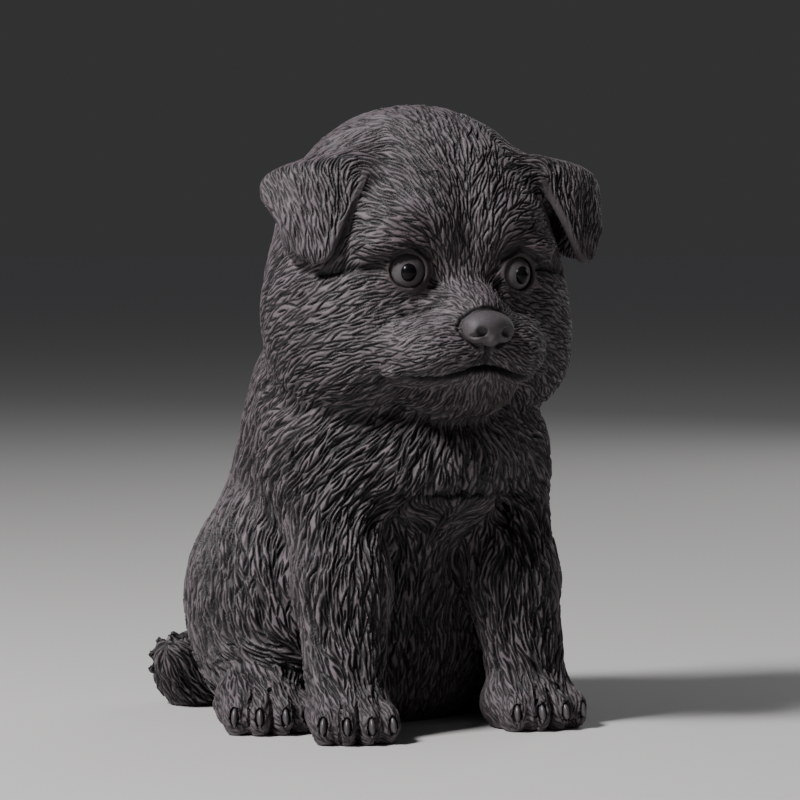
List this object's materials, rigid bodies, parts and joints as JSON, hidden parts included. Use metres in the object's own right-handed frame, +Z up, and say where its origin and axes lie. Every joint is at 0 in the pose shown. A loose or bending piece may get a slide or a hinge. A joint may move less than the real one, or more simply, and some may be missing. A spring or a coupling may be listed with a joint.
{
  "type": "ceramic dog figurine",
  "caption": "Seated puppy figurine in dark matt stoneware with carved fur, folded ears, round set-in eyes and small claws; a hollow-cast desk ornament.",
  "frame": {"origin": "middle of the footprint box on the resting plane", "axes": "+Z up, the dog faces -Y, its own left side is +X"},
  "size_m": [0.126, 0.1598, 0.1984],
  "materials": {
    "fur_clay": "matt dark stoneware with carved fur, burnished a little on the ridges",
    "nose_clay": "smooth matt stoneware",
    "eye_clay": "smooth polished stoneware",
    "pupil_glaze": "high-gloss black glaze",
    "claw_glaze": "thin satin glaze",
    "base_clay": "plain matt stoneware"
  },
  "bodies": {
    "root": {"base_plate": "base_clay", "head_shell": "fur_clay", "left_ear": "fur_clay", "left_eyeball": "eye_clay", "left_foreleg": "fur_clay", "left_foreleg_claw_1": "claw_glaze", "left_foreleg_claw_2": "claw_glaze", "left_foreleg_claw_3": "claw_glaze", "left_foreleg_claw_4": "claw_glaze", "left_hind_claw_1": "claw_glaze", "left_hind_claw_2": "claw_glaze", "left_hind_claw_3": "claw_glaze", "left_hind_claw_4": "claw_glaze", "left_hind_paw": "fur_clay", "left_pupil": "pupil_glaze", "nose": "nose_clay", "right_ear": "fur_clay", "right_eyeball": "eye_clay", "right_foreleg": "fur_clay", "right_foreleg_claw_1": "claw_glaze", "right_foreleg_claw_2": "claw_glaze", "right_foreleg_claw_3": "claw_glaze", "right_foreleg_claw_4": "claw_glaze", "right_hind_claw_1": "claw_glaze", "right_hind_claw_2": "claw_glaze", "right_hind_claw_3": "claw_glaze", "right_hind_claw_4": "claw_glaze", "right_hind_paw": "fur_clay", "right_pupil": "pupil_glaze", "tail": "fur_clay", "torso_shell": "fur_clay"}
  },
  "joints": []
}
